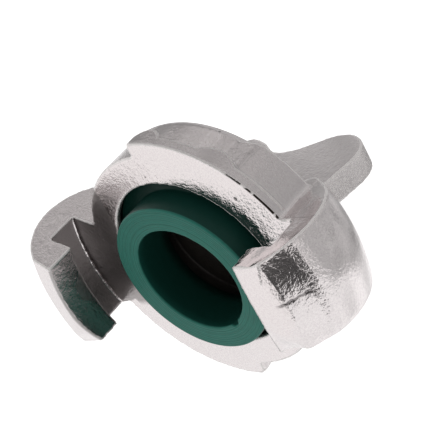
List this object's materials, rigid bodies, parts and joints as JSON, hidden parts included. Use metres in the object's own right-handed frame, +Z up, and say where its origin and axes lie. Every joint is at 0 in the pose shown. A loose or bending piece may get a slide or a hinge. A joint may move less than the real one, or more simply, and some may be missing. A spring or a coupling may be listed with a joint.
{
  "type": "blank claw hose coupling",
  "caption": "Blank half of a claw hose coupling with two hooked claws, cammed rim, rubber face seal and a butterfly grip on its closed back.",
  "frame": {"origin": "centre of the part's footprint on the ground it lies on", "axes": "+X along the line through the claws' middles, -Y towards the seal's side, +Z up; the coupling's axis leans back 40.6 degrees from the ground"},
  "size_m": [0.0604, 0.04, 0.0394],
  "materials": {
    "cast_stainless": "vibratory-polished stainless casting, fine orange-peel texture",
    "green_rubber": "satin moulded rubber, dark green"
  },
  "bodies": {
    "root": {"coupling_body": "cast_stainless", "seal_ring": "green_rubber"}
  },
  "joints": []
}
